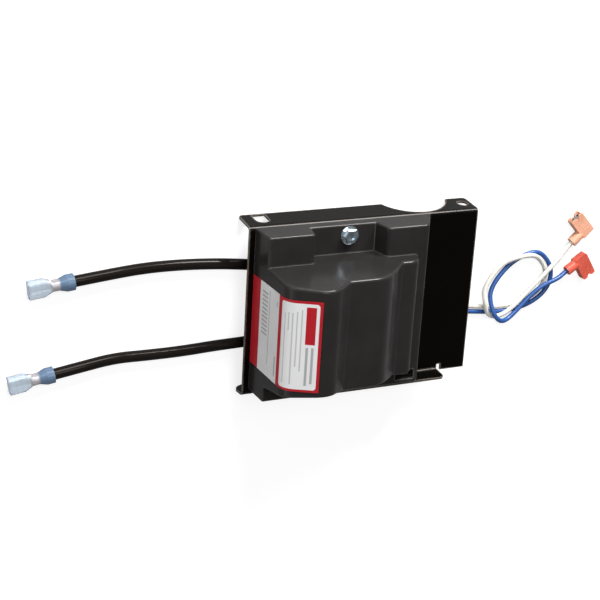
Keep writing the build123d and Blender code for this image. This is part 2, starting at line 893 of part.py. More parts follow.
def flag_sleeve(name, route, side):
    """A barrel along the wire and a flat open body across it; side is 1 or -1."""
    start = end_plane(route, flag_grip)
    body_middle = flag_barrel_length + flag_width / 2
    across_middle = side * (flag_length / 2 - flag_offset)
    flat = Plane(origin=start.origin, x_dir=start.z_dir, z_dir=(0, 0, 1))
    with BuildPart() as body:
        with BuildSketch(start):
            Circle(flag_barrel_radius)
        extrude(amount=flag_barrel_length + flag_wall)
        with BuildSketch(flat.offset(-flag_height / 2)):
            with Locations((body_middle, across_middle)):
                RectangleRounded(flag_width, flag_length, flag_corner)
        extrude(amount=flag_height)
        # Notch in the mouth's edge
        mouth = side * (flag_length - flag_offset)
        with BuildSketch(flat.offset(-flag_height)):
            with BuildLine():
                Polyline(
                    (body_middle - flag_notch, mouth),
                    (body_middle + flag_notch, mouth),
                    (body_middle, mouth - side * flag_notch),
                    close=True,
                )
            make_face()
        extrude(amount=2 * flag_height, mode=Mode.SUBTRACT)
        # Bore for the wire and crimp, and the hollow for the blade
        with BuildSketch(start):
            Circle(primary_diameter / 2)
        extrude(amount=flag_grip, mode=Mode.SUBTRACT)
        with BuildSketch(start.offset(flag_grip)):
            Circle(flag_crimp_radius)
        extrude(amount=flag_barrel_length - flag_grip + flag_wall, mode=Mode.SUBTRACT)
        with BuildSketch(flat.offset(-flag_height / 2 + flag_wall)):
            with Locations((body_middle, across_middle + side * flag_wall)):
                Rectangle(flag_width - 2 * flag_wall, flag_length)
        extrude(amount=flag_height - 2 * flag_wall, mode=Mode.SUBTRACT)
    save(body, name)
    return body


def flag_terminal(name, route, side):
    """A crimp barrel and a flat blade across it with two rolled edges."""
    start = end_plane(route, flag_grip)
    body_middle = flag_barrel_length + flag_width / 2
    flat = Plane(origin=start.origin, x_dir=start.z_dir, z_dir=(0, 0, 1))
    blade_width = flag_width - 2 * flag_wall - 2 * terminal_clearance
    blade_length = flag_length - 2 * flag_wall - terminal_clearance
    blade_height = flag_height - 2 * flag_wall
    near = side * (flag_wall + terminal_clearance - flag_offset)
    end = Plane(
        origin=flat.from_local_coords((body_middle, near, 0)),
        x_dir=start.z_dir,
        z_dir=flat.y_dir * side,
    )
    roll = blade_height / 2
    with BuildPart() as body:
        with BuildSketch(start.offset(flag_grip)):
            Circle(flag_crimp_radius)
        extrude(amount=flag_barrel_length - flag_grip + flag_wall + terminal_clearance + terminal_sheet)
        with BuildSketch(end):
            with Locations((0, terminal_sheet / 2 - roll)):
                Rectangle(blade_width - 2 * roll, terminal_sheet)
            for edge in (-1, 1):
                with Locations((edge * (blade_width / 2 - roll), 0)):
                    Circle(roll)
                    Circle(roll - terminal_sheet, mode=Mode.SUBTRACT)
        extrude(amount=blade_length)
    save(body, name)
    return body


flag_sleeve_white = flag_sleeve("flag_sleeve_white", white_route, 1)
flag_sleeve_blue = flag_sleeve("flag_sleeve_blue", blue_route, -1)
flag_terminal_white = flag_terminal("flag_terminal_white", white_route, 1)
flag_terminal_blue = flag_terminal("flag_terminal_blue", blue_route, -1)


# Ferrite core: two U halves that meet in the middle of both legs
core_middle = (core_bottom + core_top) / 2
yoke_bottom = lower_leg_z - leg_size / 2
yoke_top = upper_leg_z + leg_size / 2


def core_half(name, yoke_edge, toward):
    """One U half, from the yoke's outer edge to the gap; toward is 1 up the plate or -1."""
    reach = (core_middle - toward * core_gap / 2 - yoke_edge) * toward
    with BuildPart() as half:
        with BuildSketch(Plane.YZ.offset(px(core_x) - leg_size / 2)):
            with BuildLine():
                inner = yoke_edge + toward * leg_size
                end = yoke_edge + toward * reach
                Polyline(
                    (py(yoke_edge), pz(yoke_bottom)),
                    (py(end), pz(yoke_bottom)),
                    (py(end), pz(yoke_bottom + leg_size)),
                    (py(inner), pz(yoke_bottom + leg_size)),
                    (py(inner), pz(yoke_top - leg_size)),
                    (py(end), pz(yoke_top - leg_size)),
                    (py(end), pz(yoke_top)),
                    (py(yoke_edge), pz(yoke_top)),
                    close=True,
                )
            make_face()
        extrude(amount=leg_size)
        back = half.edges().filter_by(Axis.X).group_by(Axis.Y)[0 if toward > 0 else -1]
        fillet(back, radius=edge_radius)
    save(half, name)
    return half


core_lower = core_half("core_lower", core_bottom, 1)
core_upper = core_half("core_upper", core_top, -1)

# Bobbins and windings round the two legs
coil_bottom = core_bottom + leg_size + coil_clearance
coil_top = core_top - leg_size - coil_clearance
coil_length = coil_top - coil_bottom


def ribs_of(count, thickness):
    """Where each rib of a bobbin starts, along the leg."""
    pitch = (coil_length - thickness) / count
    return [coil_bottom + i * pitch for i in range(count + 1)]


def bobbin(name, leg_z, radius, count, thickness):
    """A tube round a leg with evenly spaced ribs."""
    with BuildPart() as spool:
        with BuildSketch(across(coil_top)):
            with Locations((px(core_x), pz(leg_z))):
                Circle(bobbin_tube_radius)
        extrude(amount=coil_length)
        for y in ribs_of(count, thickness):
            with BuildSketch(across(y + thickness)):
                with Locations((px(core_x), pz(leg_z))):
                    Circle(radius)
            extrude(amount=thickness)
        with BuildSketch(across(coil_top)):
            with Locations((px(core_x), pz(leg_z))):
                Rectangle(leg_size + 2 * coil_clearance, leg_size + 2 * coil_clearance)
        extrude(amount=coil_length, mode=Mode.SUBTRACT)
    save(spool, name)
    return spool


def winding(name, leg_z, radius, count, thickness):
    """Turns of wire that fill the sections between a bobbin's ribs."""
    starts = ribs_of(count, thickness)
    with BuildPart() as wire:
        for y, above in zip(starts, starts[1:]):
            with BuildSketch(across(above)):
                with Locations((px(core_x), pz(leg_z))):
                    Circle(radius)
                    Circle(bobbin_tube_radius, mode=Mode.SUBTRACT)
            extrude(amount=above - y - thickness)
    save(wire, name)
    return wire


secondary_bobbin = bobbin("secondary_bobbin", upper_leg_z, secondary_radius, secondary_section_count, secondary_rib)
secondary_winding = winding(
    "secondary_winding", upper_leg_z, secondary_wire_radius, secondary_section_count, secondary_rib
)
primary_bobbin = bobbin("primary_bobbin", lower_leg_z, primary_radius, 1, primary_flange)
primary_winding = winding("primary_winding", lower_leg_z, primary_wire_radius, 1, primary_flange)

# Circuit board with a hole for each pin of what stands on it
board_top_face = board_underside + board_thickness
pin_length = board_thickness + pin_diameter


def pins(places, top):
    """Round pins from a height over the plate down through the board."""
    with BuildPart() as legs:
        with BuildSketch(level(board_top_face - pin_length)):
            with Locations(*[(px(x), py(y)) for x, y in places]):
                Circle(pin_diameter / 2)
        extrude(amount=pin_length + top - board_top_face)
    return legs.part


bulk_pins = [(bulk_capacitor_x, bulk_capacitor_y + s * bulk_capacitor_diameter / 4) for s in (-1, 1)]
film_pins = [(film_x + s * film_width / 3, film_y) for s in (-1, 1)]
transistor_y = heat_sink_y - heat_sink_thickness / 2 - transistor_tab_thickness - transistor_depth / 2
transistor_pins = [(heat_sink_x + s * transistor_width / 4, transistor_y) for s in (-1, 0, 1)]
diode_places = [diode_y + i * diode_pitch for i in range(4)]
diode_pin_offset = diode_length / 2 + 2 * pin_diameter
diode_pins = [(diode_x + s * diode_pin_offset, y) for y in diode_places for s in (-1, 1)]
resistor_pin_offset = resistor_length / 2 + 2 * pin_diameter
resistor_pins = [(resistor_x + s * resistor_pin_offset, resistor_y) for s in (-1, 1)]
varistor_pins = [(varistor_x + s * varistor_diameter / 4, varistor_y) for s in (-1, 1)]
all_pins = bulk_pins + film_pins + transistor_pins + diode_pins + resistor_pins + varistor_pins

with BuildPart() as circuit_board:
    with BuildSketch(level(board_underside)):
        with Locations((px(board_left), py(board_bottom))):
            Rectangle(board_right - board_left, board_top - board_bottom, align=(Align.MIN, Align.MIN))
    extrude(amount=board_thickness)
    with BuildSketch(level(board_underside)):
        with Locations(*[(px(x), py(y)) for x, y in all_pins]):
            Circle(pin_diameter / 2)
    extrude(amount=board_thickness, mode=Mode.SUBTRACT)

save(circuit_board, "circuit_board")

with BuildPart() as bulk_capacitor:
    with BuildSketch(level(board_top_face)):
        with Locations((px(bulk_capacitor_x), py(bulk_capacitor_y))):
            Circle(bulk_capacitor_diameter / 2)
    extrude(amount=bulk_capacitor_length)
    fillet(bulk_capacitor.edges().filter_by(GeomType.CIRCLE), radius=edge_radius)
    groove_z = pz(board_top_face) + 3 * bulk_capacitor_groove + edge_radius
    with Locations((px(bulk_capacitor_x), py(bulk_capacitor_y), groove_z)):
        Torus(bulk_capacitor_diameter / 2, bulk_capacitor_groove, mode=Mode.SUBTRACT)
    add(pins(bulk_pins, board_top_face))

save(bulk_capacitor, "bulk_capacitor")

with BuildPart() as resonant_capacitor:
    with BuildSketch(level(board_top_face)):
        with Locations((px(film_x), py(film_y))):
            RectangleRounded(film_width, film_depth, edge_radius)
    extrude(amount=film_height)
    add(pins(film_pins, board_top_face))

save(resonant_capacitor, "resonant_capacitor")

with BuildPart() as heat_sink:
    with BuildSketch(Plane.YZ.offset(px(heat_sink_x) - heat_sink_width / 2)):
        with BuildLine():
            Polyline(
                (py(heat_sink_y) - heat_sink_thickness / 2, pz(board_top_face)),
                (py(heat_sink_y) + heat_sink_foot, pz(board_top_face)),
                (py(heat_sink_y) + heat_sink_foot, pz(board_top_face + heat_sink_thickness)),
                (py(heat_sink_y) + heat_sink_thickness / 2, pz(board_top_face + heat_sink_thickness)),
                (py(heat_sink_y) + heat_sink_thickness / 2, pz(board_top_face + heat_sink_height)),
                (py(heat_sink_y) - heat_sink_thickness / 2, pz(board_top_face + heat_sink_height)),
                close=True,
            )
        make_face()
    extrude(amount=heat_sink_width)

save(heat_sink, "heat_sink")

with BuildPart() as power_transistor:
    tab_plane = across(heat_sink_y - heat_sink_thickness / 2)
    lift = pz(board_top_face + transistor_lift)
    with BuildSketch(tab_plane):
        with Locations((px(heat_sink_x), lift)):
            Rectangle(transistor_width, transistor_tab_height, align=(Align.CENTER, Align.MIN))
    extrude(amount=transistor_tab_thickness)
    with BuildSketch(tab_plane.offset(transistor_tab_thickness)):
        with Locations((px(heat_sink_x), lift)):
            Rectangle(transistor_width, transistor_height, align=(Align.CENTER, Align.MIN))
    extrude(amount=transistor_depth)
    add(pins(transistor_pins, board_top_face + transistor_lift))

save(power_transistor, "power_transistor")

with BuildPart() as rectifier_diodes:
    for y in diode_places:
        height = pz(board_top_face) + diode_diameter / 2
        with BuildSketch(Plane.YZ.offset(px(diode_x) - diode_length / 2)):
            with Locations((py(y), height)):
                Circle(diode_diameter / 2)
        extrude(amount=diode_length)
        with BuildSketch(Plane.YZ.offset(px(diode_x) - diode_pin_offset)):
            with Locations((py(y), height)):
                Circle(pin_diameter / 2)
        extrude(amount=2 * diode_pin_offset)
    add(pins(diode_pins, board_top_face + diode_diameter / 2))

save(rectifier_diodes, "rectifier_diodes")

with BuildPart() as resistor:
    height = pz(board_top_face) + resistor_diameter / 2
    with BuildSketch(Plane.YZ.offset(px(resistor_x) - resistor_length / 2)):
        with Locations((py(resistor_y), height)):
            Circle(resistor_diameter / 2)
    extrude(amount=resistor_length)
    fillet(resistor.edges().filter_by(GeomType.CIRCLE), radius=edge_radius)
    with BuildSketch(Plane.YZ.offset(px(resistor_x) - resistor_pin_offset)):
        with Locations((py(resistor_y), height)):
            Circle(pin_diameter / 2)
    extrude(amount=2 * resistor_pin_offset)
    add(pins(resistor_pins, board_top_face + resistor_diameter / 2))

save(resistor, "resistor")

with BuildPart() as varistor:
    height = pz(board_top_face + varistor_lift) + varistor_diameter / 2
    with BuildSketch(across(varistor_y + varistor_thickness / 2)):
        with Locations((px(varistor_x), height)):
            Circle(varistor_diameter / 2)
    extrude(amount=varistor_thickness)
    fillet(varistor.edges().filter_by(GeomType.CIRCLE), radius=edge_radius)
    add(pins(varistor_pins, board_top_face + varistor_lift + varistor_diameter / 2))

save(varistor, "varistor")

# Potting: what is left of the housing's hollow once everything is in it
embedded = [
    core_lower,
    core_upper,
    secondary_bobbin,
    secondary_winding,
    primary_bobbin,
    primary_winding,
    circuit_board,
    bulk_capacitor,
    resonant_capacitor,
    heat_sink,
    power_transistor,
    rectifier_diodes,
    resistor,
    varistor,
    hv_lead_upper,
    hv_lead_lower,
    primary_lead_white,
    primary_lead_blue,
    hv_bushing_upper,
    hv_bushing_lower,
    primary_bushing,
    housing,
]

with BuildPart() as potting:
    add(cavity.part)
    for piece in embedded:
        add(piece.part, mode=Mode.SUBTRACT)

save(potting, "potting")
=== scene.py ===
"""The looks of an ignition transformer that lies on its back on a pale floor, in metres."""

from math import cos, sin, tan

import bpy
import bmesh
from mathutils import Matrix, Vector


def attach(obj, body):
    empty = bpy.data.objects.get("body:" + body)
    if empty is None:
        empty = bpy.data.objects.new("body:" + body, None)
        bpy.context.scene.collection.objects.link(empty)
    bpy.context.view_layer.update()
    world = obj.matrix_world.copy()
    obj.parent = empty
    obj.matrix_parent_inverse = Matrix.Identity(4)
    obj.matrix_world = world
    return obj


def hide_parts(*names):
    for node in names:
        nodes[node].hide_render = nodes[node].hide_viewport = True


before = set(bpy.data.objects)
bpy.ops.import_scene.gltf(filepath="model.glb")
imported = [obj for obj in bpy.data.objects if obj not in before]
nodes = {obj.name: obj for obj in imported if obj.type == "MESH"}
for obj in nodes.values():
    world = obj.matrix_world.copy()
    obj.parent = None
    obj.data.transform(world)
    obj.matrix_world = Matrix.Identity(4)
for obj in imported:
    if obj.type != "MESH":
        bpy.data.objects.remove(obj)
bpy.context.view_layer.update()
scene = bpy.context.scene
scene.view_settings.view_transform = "Standard"
MM = 0.001

# Camera
LENS = 89.7
SENSOR_WIDTH = 36.0
CAMERA_RIGHT = Vector((0.9059, 0.0558, 0.4197))
CAMERA_UP = Vector((0.0965, 0.9379, -0.3331))
CAMERA_BACK = Vector((-0.4123, 0.3423, 0.8443))
CAMERA_PLACE = Vector((-0.3102, 0.2348, 0.5838))
NEAREST = 0.05
FARTHEST = 20.0


def add_camera():
    """A long lens over the left-hand side, as the photograph was taken."""
    data = bpy.data.cameras.new("camera")
    data.lens = LENS
    data.sensor_width = SENSOR_WIDTH
    data.sensor_fit = "HORIZONTAL"
    data.clip_start = NEAREST
    data.clip_end = FARTHEST
    camera = bpy.data.objects.new("camera", data)
    scene.collection.objects.link(camera)
    turn = Matrix((CAMERA_RIGHT, CAMERA_UP, CAMERA_BACK)).transposed()
    camera.matrix_world = Matrix.Translation(CAMERA_PLACE) @ turn.to_4x4()
    scene.camera = camera


add_camera()

# Material helpers
MIX_INPUTS = (0, 6, 7)
MIX_OUTPUT = 2
NOISE_LOW = 0.3
NOISE_HIGH = 0.7


class Tree:
    """A short way to add and join the nodes of one tree."""

    def __init__(self, tree):
        self.tree = tree

    def add(self, kind, **settings):
        """A node of a kind, with its own settings."""
        node = self.tree.nodes.new(kind)
        for key, value in settings.items():
            setattr(node, key, value)
        return node

    def join(self, source, target):
        """Joins an output to an input."""
        self.tree.links.new(source, target)

    def put(self, item, target):
        """Gives an input a number, a colour or another node's output."""
        if isinstance(item, (int, float)):
            target.default_value = item
        elif isinstance(item, tuple):
            target.default_value = (*item, 1.0)
        else:
            self.join(item, target)

    def maths(self, operation, first, second=None):
        """One sum on one or two values."""
        node = self.add("ShaderNodeMath", operation=operation)
        self.put(first, node.inputs[0])
        if second is not None:
            self.put(second, node.inputs[1])
        return node.outputs[0]

    def span(self, value, low, high, to_low=0.0, to_high=1.0):
        """Maps a value from one range to another, clamped."""
        node = self.add("ShaderNodeMapRange")
        for item, target in zip((value, low, high, to_low, to_high), node.inputs):
            self.put(item, target)
        return node.outputs[0]

    def mix(self, share, first, second):
        """A colour between two."""
        node = self.add("ShaderNodeMix", data_type="RGBA")
        for item, index in zip((share, first, second), MIX_INPUTS):
            self.put(item, node.inputs[index])
        return node.outputs[MIX_OUTPUT]

    def seen(self, rays):
        """1 for rays that come from the camera, also through clear pieces, and 0 for the rest."""
        return self.maths("MAXIMUM", rays.outputs["Is Camera Ray"], rays.outputs["Is Transmission Ray"])


class Finish(Tree):
    """One material: its shader and the patterns that feed it."""

    def __init__(self, name):
        self.material = bpy.data.materials.new(name)
        self.material.use_nodes = True
        super().__init__(self.material.node_tree)
        self.shader = self.tree.nodes["Principled BSDF"]

    def set(self, **values):
        """Sets the shader's own inputs; underscores stand for spaces."""
        for key, value in values.items():
            self.put(value, self.shader.inputs[key.replace("_", " ")])

    def place(self):
        """The point on the surface, in the row frame, in metres."""
        return self.add("ShaderNodeTexCoord").outputs["Object"]

    def noise(self, vector, scale, detail=4.0, rough=0.55):
        """Smooth noise over the surface, from 0 to 1."""
        node = self.add("ShaderNodeTexNoise")
        node.inputs["Scale"].default_value = scale
        node.inputs["Detail"].default_value = detail
        node.inputs["Roughness"].default_value = rough
        self.join(vector, node.inputs["Vector"])
        return node.outputs["Fac"]

    def stretch(self, noise, to_low=0.0, to_high=1.0):
        """Noise stretched over two values, because most of it lies in its middle."""
        return self.span(noise, NOISE_LOW, NOISE_HIGH, to_low, to_high)

    def bump(self, height, strength, distance):
        """Bumps the surface by a height."""
        node = self.add("ShaderNodeBump")
        node.inputs["Strength"].default_value = strength
        node.inputs["Distance"].default_value = distance
        self.join(height, node.inputs["Height"])
        self.join(node.outputs["Normal"], self.shader.inputs["Normal"])

    def edges(self, radius, full, none):
        """How close the surface is to a sharp edge, from 0 to 1, by how far a bevel would turn it."""
        bevel = self.add("ShaderNodeBevel", samples=4)
        bevel.inputs["Radius"].default_value = radius
        normal = self.add("ShaderNodeNewGeometry").outputs["Normal"]
        dot = self.add("ShaderNodeVectorMath", operation="DOT_PRODUCT")
        self.join(bevel.outputs[0], dot.inputs[0])
        self.join(normal, dot.inputs[1])
        return self.span(dot.outputs["Value"], none, full)


# Kinds of finish
SLOW_SCALE = 60.0
# Lighter sharp edges: how wide, and where their colour is full and where none; on the moulding this is
# a painted highlight
LIGHTER_EDGE_RADIUS = 0.001
LIGHTER_EDGE_FULL = 0.9
LIGHTER_EDGE_NONE = 0.99
PATCH_HIGH = 0.6
PATCH_LEAST = 0.4
CLEAR_SLOW_SCALE = 150.0
CLEAR_SHADE = 0.8
CLEAR_IOR = 1.4
RIPPLE_SCALE = 700.0


def finish_of(
    name,
    colour,
    roughness,
    spread=0.08,
    shade=0.85,
    grain=900.0,
    depth=0.00002,
    strength=0.3,
    metallic=0.0,
    specular=0.5,
    lighter_edges=None,
    gloss_tint=(1.0, 1.0, 1.0),
):
    """A plain finish: slow colour change, grain in its gloss and bump, and lighter sharp edges in
    patches if asked, which on the moulding are a painted highlight.
    """
    n = Finish(name)
    place = n.place()
    slow = n.noise(place, SLOW_SCALE, detail=3.0)
    fine = n.noise(place, grain, detail=5.0, rough=0.6)
    dark = tuple(c * shade for c in colour)
    base = n.mix(n.stretch(slow), dark, colour)
    # Lighter colour at sharp edges, in patches; on the moulding it is a painted highlight along crests
    # and rims
    if lighter_edges:
        patches = n.span(slow, NOISE_LOW, PATCH_HIGH, PATCH_LEAST, 1.0)
        lighter_edge_share = n.maths("MULTIPLY", n.edges(LIGHTER_EDGE_RADIUS, LIGHTER_EDGE_FULL, LIGHTER_EDGE_NONE), patches)
        base = n.mix(lighter_edge_share, base, lighter_edges)
    n.bump(fine, strength, depth)
    n.set(
        Base_Color=base,
        Roughness=n.stretch(fine, roughness - spread, roughness + spread),
        Metallic=metallic,
        Specular_IOR_Level=specular,
        Specular_Tint=gloss_tint,
    )
    return n.material


def clear_finish(name, colour, roughness, transmission):
    """A translucent moulding, tinted, with a faint ripple."""
    n = Finish(name)
    place = n.place()
    slow = n.noise(place, CLEAR_SLOW_SCALE, detail=2.0)
    ripple = n.noise(place, RIPPLE_SCALE, detail=3.0)
    deep = tuple(c * CLEAR_SHADE for c in colour)
    n.bump(ripple, strength=0.15, distance=0.00003)
    n.set(
        Base_Color=n.mix(n.stretch(slow), deep, colour),
        Roughness=n.stretch(ripple, roughness - 0.05, roughness + 0.08),
        Transmission_Weight=transmission,
        IOR=CLEAR_IOR,
    )
    return n.material


def dress(name, material):
    """Gives a CAD node one material."""
    data = nodes[name].data
    data.materials.clear()
    data.materials.append(material)


# Leads: the same points as the solids, as smooth splines
HV_DIAMETER = 5.0
PRIMARY_DIAMETER = 2.3
ROUTES = {
    "hv_lead_upper": [
        (-43.25, 18.0, 15.0),
        (-43.25, 18.0, 7.7),
        (-48.5, 18.3, 2.5),
        (-55.6, 19.2, 2.5),
        (-67.5, 20.6, 2.5),
        (-84.0, 21.7, 2.5),
        (-102.0, 21.8, 2.5),
        (-120.5, 20.6, 3.7),
        (-137.4, 18.7, 3.7),
    ],
    "hv_lead_lower": [
        (-43.25, -18.0, 15.0),
        (-43.25, -18.0, 7.7),
        (-48.5, -18.1, 2.5),
        (-55.6, -18.4, 2.5),
        (-67.5, -18.6, 2.5),
        (-83.5, -19.4, 2.5),
        (-100.0, -19.4, 2.5),
        (-115.5, -19.0, 2.5),
        (-131.0, -20.8, 3.7),
        (-146.3, -23.2, 3.7),
    ],
    "primary_lead_white": [
        (17.75, -10.8, 15.9),
        (17.75, -10.8, 7.2),
        (24.0, -10.9, 1.15),
        (38.0, -11.2, 1.15),
        (55.0, -12.2, 1.15),
        (70.0, -14.6, 1.15),
        (82.0, -15.9, 1.15),
        (94.0, -15.4, 1.15),
        (103.2, -12.3, 1.15),
        (109.0, -6.6, 1.15),
        (109.6, 1.0, 1.15),
        (105.0, 7.2, 1.15),
        (98.5, 10.6, 4.2),
        (90.5, 10.2, 4.2),
        (83.3, 6.6, 1.15),
        (77.0, -0.6, 1.15),
        (73.6, -6.6, 2.0),
        (73.7, -12.0, 4.2),
        (75.0, -17.4, 4.2),
        (79.0, -20.0, 4.2),
        (84.8, -19.2, 4.2),
        (91.3, -14.8, 4.2),
        (98.6, -8.0, 3.8),
        (105.2, -1.6, 4.2),
        (113.6, 6.4, 4.2),
        (118.6, 11.3, 2.5),
        (123.8, 16.2, 2.5),
    ],
    "primary_lead_blue": [
        (17.75, -14.0, 15.9),
        (17.75, -14.0, 7.2),
        (24.0, -14.1, 1.15),
        (38.0, -14.3, 1.15),
        (55.0, -15.2, 1.15),
        (70.0, -17.3, 1.15),
        (82.0, -18.6, 1.15),
        (94.5, -18.3, 1.15),
        (105.0, -14.8, 1.15),
        (111.6, -8.8, 1.15),
        (113.2, -1.0, 1.15),
        (109.8, 6.2, 1.15),
        (103.2, 11.4, 1.15),
        (94.5, 9.6, 1.15),
        (87.0, 5.4, 1.15),
        (80.6, -1.6, 1.15),
        (77.1, -8.0, 2.0),
        (76.5, -13.2, 5.2),
        (77.9, -18.2, 7.3),
        (81.4, -21.6, 7.3),
        (86.8, -21.9, 5.2),
        (92.8, -17.6, 4.2),
        (99.6, -11.2, 3.8),
        (106.2, -6.2, 4.2),
        (115.0, -3.4, 4.2),
        (119.4, -1.6, 2.5),
        (123.2, 0.9, 2.5),
    ],
}


def lead(node, diameter, material):
    """One lead as a spline with a round section, in place of its solid."""
    route = ROUTES[node]
    data = bpy.data.curves.new(node + "_jacket", "CURVE")
    data.dimensions = "3D"
    data.bevel_depth = diameter / 2 * MM
    data.bevel_resolution = 6
    data.resolution_u = 12
    data.use_fill_caps = True
    spline = data.splines.new("NURBS")
    spline.points.add(len(route) - 1)
    for point, place in zip(spline.points, route):
        point.co = (*(v * MM for v in place), 1.0)
    spline.order_u = 3
    spline.use_endpoint_u = True
    piece = bpy.data.objects.new(node + "_jacket", data)
    scene.collection.objects.link(piece)
    data.materials.append(material)
    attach(piece, "root")
    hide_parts(node)


WARM_GLOSS = (1.0, 0.92, 0.86)

black_jacket = finish_of(
    "black_jacket",
    (0.011, 0.009, 0.008),
    0.12,
    spread=0.03,
    grain=500.0,
    strength=0.1,
    depth=0.00003,
    specular=0.12,
    gloss_tint=WARM_GLOSS,
)
white_jacket = finish_of("white_jacket", (0.78, 0.76, 0.7), 0.35, shade=0.92, grain=600.0)
blue_jacket = finish_of("blue_jacket", (0.028, 0.1, 0.34), 0.3, grain=600.0)

for end in ("upper", "lower"):
    lead(f"hv_lead_{end}", HV_DIAMETER, black_jacket)
for colour, jacket in (("white", white_jacket), ("blue", blue_jacket)):
    lead(f"primary_lead_{colour}", PRIMARY_DIAMETER, jacket)

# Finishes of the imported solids
black_paint = finish_of(
    "black_paint",
    (0.0016, 0.0013, 0.001),
    0.24,
    spread=0.04,
    grain=1400.0,
    strength=0.06,
    specular=0.24,
    lighter_edges=(0.3, 0.26, 0.22),
    gloss_tint=WARM_GLOSS,
)
black_moulding = finish_of(
    "black_moulding",
    (0.0245, 0.0226, 0.0222),
    0.21,
    spread=0.05,
    shade=0.76,
    grain=2200.0,
    strength=0.22,
    depth=0.00003,
    specular=0.25,
    # lighter edges: a painted highlight along the moulding's crests and rims
    lighter_edges=(0.15, 0.137, 0.133),
    gloss_tint=(1.0, 0.95, 0.94),
)
zinc_plate = finish_of(
    "zinc_plate",
    (0.62, 0.74, 0.81),
    0.14,
    spread=0.04,
    shade=0.9,
    grain=1500.0,
    strength=0.1,
    metallic=0.9,
)
tin_plate = finish_of("tin_plate", (0.8, 0.77, 0.72), 0.26, metallic=0.8, grain=1200.0)
black_nylon = finish_of("black_nylon", (0.012, 0.012, 0.012), 0.5)
label_film = finish_of("label_film", (0.8, 0.8, 0.79), 0.35, shade=0.96)
dress("base_plate", black_paint)
dress("housing", black_moulding)
dress("housing_screw", zinc_plate)
for name in ("hv_terminal_upper", "hv_terminal_lower", "flag_terminal_white", "flag_terminal_blue"):
    dress(name, tin_plate)
for name in ("hv_bushing_upper", "hv_bushing_lower", "primary_bushing"):
    dress(name, black_nylon)
for name in ("rating_label", "front_label"):
    dress(name, label_film)
dress("flag_sleeve_white", clear_finish("orange_sleeve", (1.0, 0.5, 0.33), 0.25, 0.12))
dress("flag_sleeve_blue", clear_finish("red_sleeve", (0.92, 0.17, 0.11), 0.25, 0.3))

# Sleeves of the high voltage leads: where each bell ends, and the way from there to the mouth
SLEEVES = {
    "upper": ((-140.9, 18.3, 3.7), (-0.994, -0.112, 0.0)),
    "lower": ((-149.9, -23.8, 3.7), (-0.988, -0.155, 0.0)),
}
PALE_NYLON = (0.72, 0.8, 0.88)
PALE_TRANSMISSION = 0.6
BELL_NYLON = (0.17, 0.26, 0.39)
BELL_TRANSMISSION = 0.35
BELL_FADE = (0.0004, -0.0006)
RING_NYLON = (0.5, 0.6, 0.7)
RING_SHARE = 0.3
RING_RADIANS_PER_METRE = 2600.0
NECK_NYLON = (0.5, 0.45, 0.47)
NECK_SHARE = 0.7
NECK_FADE = (0.0045, 0.003)
SLEEVE_IOR = 1.35


def sleeve_finish(name, bell_end, way):
    """Pale nylon with faint rings, greyer at its neck and blue as far as the bell goes."""
    n = Finish(name)
    place = n.place()
    along = n.add("ShaderNodeVectorMath", operation="DOT_PRODUCT")
    n.join(place, along.inputs[0])
    along.inputs[1].default_value = way
    start = sum(a * b for a, b in zip(bell_end, way)) * MM
    past = n.maths("SUBTRACT", along.outputs["Value"], start)
    bell = n.span(past, *BELL_FADE)
    ring = n.maths("SINE", n.maths("MULTIPLY", past, RING_RADIANS_PER_METRE))
    base = n.mix(n.span(ring, 0.5, 1.0, 0.0, RING_SHARE), PALE_NYLON, RING_NYLON)
    base = n.mix(n.span(past, *NECK_FADE, 0.0, NECK_SHARE), base, NECK_NYLON)
    n.bump(ring, strength=0.05, distance=0.00004)
    n.set(
        Base_Color=n.mix(bell, base, BELL_NYLON),
        Transmission_Weight=n.span(bell, 0.0, 1.0, PALE_TRANSMISSION, BELL_TRANSMISSION),
        Roughness=n.stretch(n.noise(place, RIPPLE_SCALE, detail=3.0), 0.1, 0.2),
        IOR=SLEEVE_IOR,
        Specular_IOR_Level=0.3,
    )
    return n.material


for end, (bell_end, way) in SLEEVES.items():
    dress(f"hv_sleeve_{end}", sleeve_finish(f"sleeve_{end}", bell_end, way))

# Pieces inside the housing: colour, roughness and how metallic
FERRITE = ((0.05, 0.05, 0.05), 0.6, 0.0)
BOBBIN = ((0.6, 0.58, 0.5), 0.5, 0.0)
COPPER = ((0.5, 0.2, 0.07), 0.3, 1.0)
EPOXY = ((0.015, 0.015, 0.015), 0.5, 0.0)
INNER_FINISHES = {
    "potting": ((0.03, 0.024, 0.02), 0.25, 0.0),
    "core_lower": FERRITE,
    "core_upper": FERRITE,
    "secondary_bobbin": BOBBIN,
    "primary_bobbin": BOBBIN,
    "secondary_winding": COPPER,
    "primary_winding": COPPER,
    "circuit_board": ((0.4, 0.3, 0.1), 0.5, 0.0),
    "bulk_capacitor": ((0.02, 0.025, 0.07), 0.3, 0.0),
    "resonant_capacitor": ((0.5, 0.1, 0.03), 0.35, 0.0),
    "heat_sink": ((0.7, 0.7, 0.71), 0.4, 1.0),
    "power_transistor": EPOXY,
    "rectifier_diodes": EPOXY,
    "resistor": ((0.25, 0.4, 0.42), 0.45, 0.0),
    "varistor": ((0.03, 0.08, 0.3), 0.35, 0.0),
}
for name, (colour, roughness, metallic) in INNER_FINISHES.items():
    dress(name, finish_of(name + "_finish", colour, roughness, metallic=metallic))

# Labels, printed with plain fields, bent round the hump's left shoulder
LABEL_THICKNESS = 0.2
LABEL_GAP = 0.02
LABEL_BOTTOM = 17.0
LABEL_TOP = 58.6
LABEL_START = 0.6
LABEL_SPLIT = 28.4
LABEL_END_X = 16.8
LABEL_STEPS = 48
PLATE_HALF_WIDTH = 58.25
PLATE_HALF_HEIGHT = 40.0
PLATE_FRONT = 13.7
WALL_FOOT = Vector((2.9, 0.0))
SHOULDER = Vector((3.253, 35.3))
SLOPE_END = Vector((21.2, 45.2))
SHOULDER_RADIUS = 7.7

